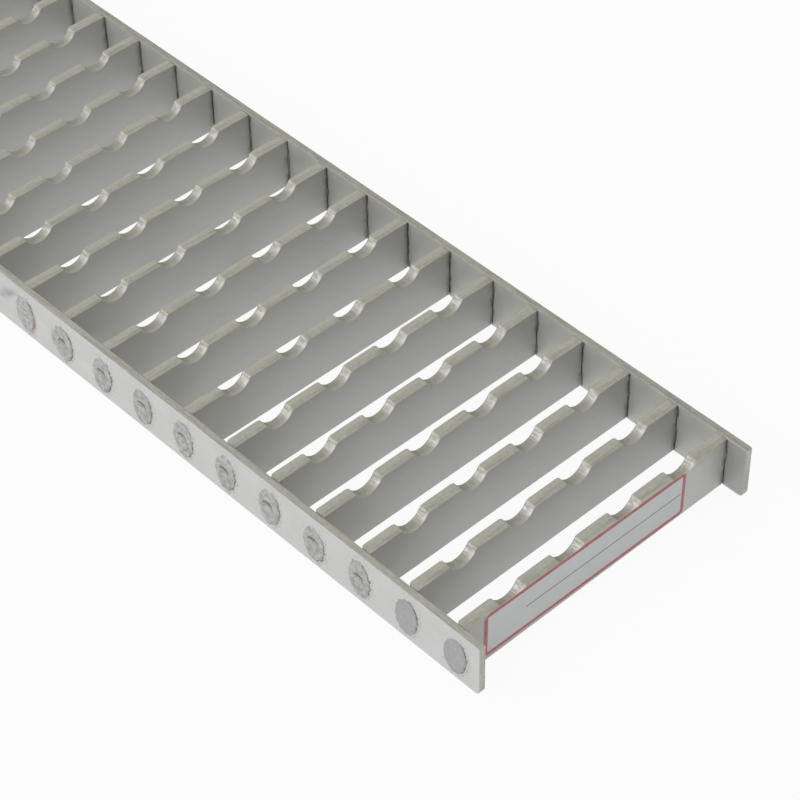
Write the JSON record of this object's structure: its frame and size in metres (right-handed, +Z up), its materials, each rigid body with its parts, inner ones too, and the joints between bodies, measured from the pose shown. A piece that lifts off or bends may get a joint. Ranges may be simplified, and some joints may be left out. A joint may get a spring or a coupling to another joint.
{
  "type": "ladder drain grate",
  "caption": "Flat ladder grate for a floor drain channel: side rails on edge joined by upright plate rungs with rounded anti-slip scallops along their tops.",
  "frame": {"origin": "on the floor at the middle of the grate, below its centre", "axes": "+X along the rails towards the end with the label, +Y across the grate, +Z up"},
  "size_m": [0.5, 0.1438, 0.025],
  "materials": {
    "rail_steel": "pickled stainless steel, pale and satin, with duller oval weld marks",
    "rung_steel": "rolled stainless steel, satin, with bright cut scallops",
    "label": "blank white adhesive film with a red border"
  },
  "bodies": {
    "root": {"rail_left": "rail_steel", "rail_right": "rail_steel", "rung_01": "rung_steel", "rung_02": "rung_steel", "rung_03": "rung_steel", "rung_04": "rung_steel", "rung_05": "rung_steel", "rung_06": "rung_steel", "rung_07": "rung_steel", "rung_08": "rung_steel", "rung_09": "rung_steel", "rung_10": "rung_steel", "rung_11": "rung_steel", "rung_12": "rung_steel", "rung_13": "rung_steel", "rung_14": "rung_steel", "rung_15": "rung_steel", "rung_16": "rung_steel", "rung_17": "rung_steel", "rung_18": "rung_steel", "rung_19": "rung_steel", "rung_20": "rung_steel", "end_label": "label"}
  },
  "joints": []
}
